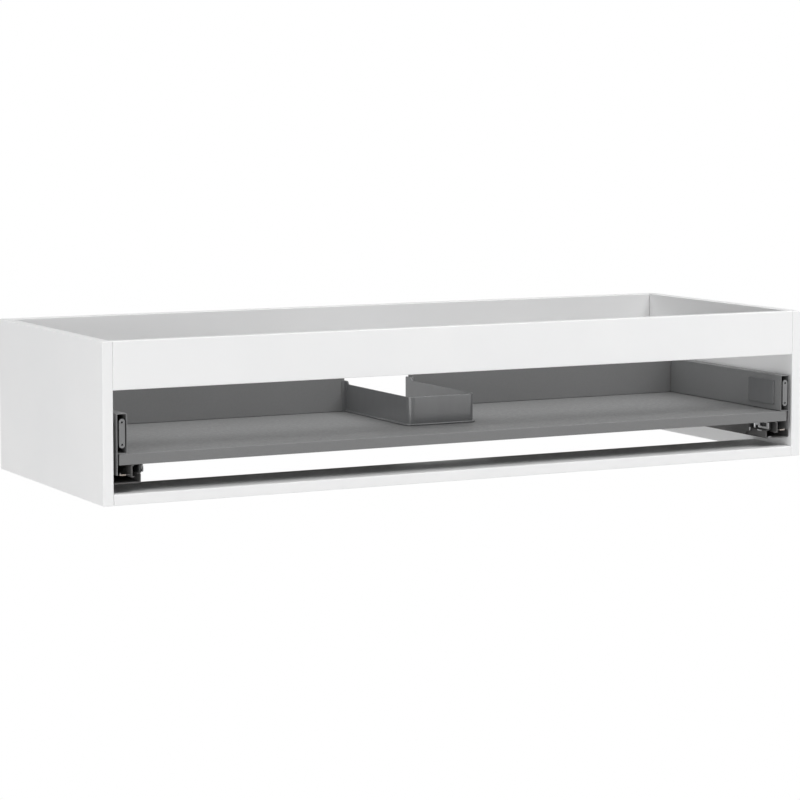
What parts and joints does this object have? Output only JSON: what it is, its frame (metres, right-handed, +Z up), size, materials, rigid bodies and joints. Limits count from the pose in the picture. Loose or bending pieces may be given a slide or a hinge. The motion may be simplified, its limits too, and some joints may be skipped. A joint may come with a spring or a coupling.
{
  "type": "washbasin cabinet with drawer slides",
  "caption": "Open-topped wall-hung cabinet with one shallow U-cut drawer on full-extension undermount slides",
  "frame": {"origin": "middle of the cabinet's footprint, on the plane of its underside", "axes": "+X to the right seen from the front, -Y out of the front, +Z up"},
  "size_m": [1.2, 0.442, 0.235],
  "materials": {
    "white_lacquer": "high-gloss white lacquered board",
    "grey_board": "matt grey melamine-faced board",
    "grey_steel": "fine-textured grey powder coat on sheet steel",
    "grey_plastic": "satin grey moulded plastic",
    "zinc": "zinc-plated steel",
    "black_steel": "black-passivated rolled steel",
    "dark_plastic": "black moulded plastic",
    "white_plastic": "natural acetal",
    "rubber": "soft black rubber"
  },
  "bodies": {
    "cabinet": {"left_side_panel": "white_lacquer", "right_side_panel": "white_lacquer", "front_top_rail": "white_lacquer", "back_top_rail": "white_lacquer", "front_bottom_rail": "white_lacquer", "wall_hanger_body_left": "zinc", "cabinet_rail_left": "black_steel", "end_bumper_left": "rubber", "soft_close_case_left": "dark_plastic", "damper_cylinder_left": "zinc", "closing_spring_left": "zinc", "wall_hanger_body_right": "zinc", "cabinet_rail_right": "black_steel", "end_bumper_right": "rubber", "soft_close_case_right": "dark_plastic", "damper_cylinder_right": "zinc", "closing_spring_right": "zinc"},
    "drawer": {"drawer_floor": "grey_board", "drawer_back_left": "grey_board", "drawer_back_right": "grey_board", "siphon_insert": "grey_plastic", "drawer_side_left": "grey_steel", "front_bracket_left": "grey_steel", "adjuster_housing_left": "zinc", "cover_cap_left": "grey_plastic", "rear_bracket_left": "zinc", "drawer_rail_left": "black_steel", "closing_pin_left": "zinc", "catch_housing_left": "dark_plastic", "lever_pin_left": "zinc", "drawer_side_right": "grey_steel", "front_bracket_right": "grey_steel", "adjuster_housing_right": "zinc", "cover_cap_right": "grey_plastic", "rear_bracket_right": "zinc", "drawer_rail_right": "black_steel", "closing_pin_right": "zinc", "catch_housing_right": "dark_plastic", "lever_pin_right": "zinc"},
    "middle_rail_left": {"middle_rail_left": "black_steel"},
    "lower_roller_cage_left": {"lower_roller_cage_left": "white_plastic"},
    "upper_roller_cage_left": {"upper_roller_cage_left": "white_plastic"},
    "height_cam_left": {"height_cam_left": "zinc"},
    "side_cam_left": {"side_cam_left": "zinc"},
    "release_lever_left": {"release_lever_left": "zinc"},
    "wall_hanger_hook_left": {"wall_hanger_hook_left": "zinc"},
    "wall_hanger_cam_left": {"wall_hanger_cam_left": "zinc"},
    "closing_catch_left": {"closing_catch_left": "dark_plastic", "damper_rod_left": "zinc"},
    "middle_rail_right": {"middle_rail_right": "black_steel"},
    "lower_roller_cage_right": {"lower_roller_cage_right": "white_plastic"},
    "upper_roller_cage_right": {"upper_roller_cage_right": "white_plastic"},
    "height_cam_right": {"height_cam_right": "zinc"},
    "side_cam_right": {"side_cam_right": "zinc"},
    "release_lever_right": {"release_lever_right": "zinc"},
    "wall_hanger_hook_right": {"wall_hanger_hook_right": "zinc"},
    "wall_hanger_cam_right": {"wall_hanger_cam_right": "zinc"},
    "closing_catch_right": {"closing_catch_right": "dark_plastic", "damper_rod_right": "zinc"}
  },
  "joints": [
    {"name": "drawer_slide", "type": "slide", "parent": "cabinet", "child": "drawer", "axis": [0, -1, 0], "range_m": [0, 0.344]},
    {"name": "middle_rail_slide_left", "type": "slide", "parent": "cabinet", "child": "middle_rail_left", "axis": [0, -1, 0], "range_m": [0, 0.172]},
    {"name": "lower_cage_slide_left", "type": "slide", "parent": "cabinet", "child": "lower_roller_cage_left", "axis": [0, -1, 0], "range_m": [0, 0.086]},
    {"name": "upper_cage_slide_left", "type": "slide", "parent": "cabinet", "child": "upper_roller_cage_left", "axis": [0, -1, 0], "range_m": [0, 0.258]},
    {"name": "closing_catch_slide_left", "type": "slide", "parent": "cabinet", "child": "closing_catch_left", "axis": [0, -1, 0], "range_m": [0, 0.04], "stiffness_N_per_m": 40},
    {"name": "release_lever_pivot_left", "type": "hinge", "parent": "drawer", "child": "release_lever_left", "pos_m": [-0.5392, -0.183, 0.0516], "axis": [0, 0, 1], "range_deg": [0, 12], "stiffness_Nm_per_rad": 0.02},
    {"name": "height_cam_turn_left", "type": "hinge", "parent": "drawer", "child": "height_cam_left", "pos_m": [-0.56855, -0.165, 0.113], "axis": [1, 0, 0], "range_deg": [-90, 90]},
    {"name": "side_cam_turn_left", "type": "hinge", "parent": "drawer", "child": "side_cam_left", "pos_m": [-0.56855, -0.165, 0.092], "axis": [1, 0, 0], "range_deg": [-90, 90]},
    {"name": "hanger_cam_turn_left", "type": "hinge", "parent": "cabinet", "child": "wall_hanger_cam_left", "pos_m": [-0.5741, 0.171, 0.122], "axis": [1, 0, 0], "range_deg": [-90, 90]},
    {"name": "hanger_hook_lift_left", "type": "slide", "parent": "cabinet", "child": "wall_hanger_hook_left", "axis": [0, 0, 1], "range_m": [-0.003, 0.003]},
    {"name": "middle_rail_slide_right", "type": "slide", "parent": "cabinet", "child": "middle_rail_right", "axis": [0, -1, 0], "range_m": [0, 0.172]},
    {"name": "lower_cage_slide_right", "type": "slide", "parent": "cabinet", "child": "lower_roller_cage_right", "axis": [0, -1, 0], "range_m": [0, 0.086]},
    {"name": "upper_cage_slide_right", "type": "slide", "parent": "cabinet", "child": "upper_roller_cage_right", "axis": [0, -1, 0], "range_m": [0, 0.258]},
    {"name": "closing_catch_slide_right", "type": "slide", "parent": "cabinet", "child": "closing_catch_right", "axis": [0, -1, 0], "range_m": [0, 0.04], "stiffness_N_per_m": 40},
    {"name": "release_lever_pivot_right", "type": "hinge", "parent": "drawer", "child": "release_lever_right", "pos_m": [0.5392, -0.183, 0.0516], "axis": [0, 0, -1], "range_deg": [0, 12], "stiffness_Nm_per_rad": 0.02},
    {"name": "height_cam_turn_right", "type": "hinge", "parent": "drawer", "child": "height_cam_right", "pos_m": [0.56855, -0.165, 0.113], "axis": [1, 0, 0], "range_deg": [-90, 90]},
    {"name": "side_cam_turn_right", "type": "hinge", "parent": "drawer", "child": "side_cam_right", "pos_m": [0.56855, -0.165, 0.092], "axis": [1, 0, 0], "range_deg": [-90, 90]},
    {"name": "hanger_cam_turn_right", "type": "hinge", "parent": "cabinet", "child": "wall_hanger_cam_right", "pos_m": [0.5741, 0.171, 0.122], "axis": [1, 0, 0], "range_deg": [-90, 90]},
    {"name": "hanger_hook_lift_right", "type": "slide", "parent": "cabinet", "child": "wall_hanger_hook_right", "axis": [0, 0, 1], "range_m": [-0.003, 0.003]}
  ],
  "couplings": [
    {"joint": "middle_rail_slide_left", "follows": "drawer_slide", "ratio": 0.5},
    {"joint": "lower_cage_slide_left", "follows": "drawer_slide", "ratio": 0.25},
    {"joint": "upper_cage_slide_left", "follows": "drawer_slide", "ratio": 0.75},
    {"joint": "hanger_cam_turn_left", "follows": "hanger_hook_lift_left", "rad_per_m": 520},
    {"joint": "middle_rail_slide_right", "follows": "drawer_slide", "ratio": 0.5},
    {"joint": "lower_cage_slide_right", "follows": "drawer_slide", "ratio": 0.25},
    {"joint": "upper_cage_slide_right", "follows": "drawer_slide", "ratio": 0.75},
    {"joint": "hanger_cam_turn_right", "follows": "hanger_hook_lift_right", "rad_per_m": 520}
  ]
}
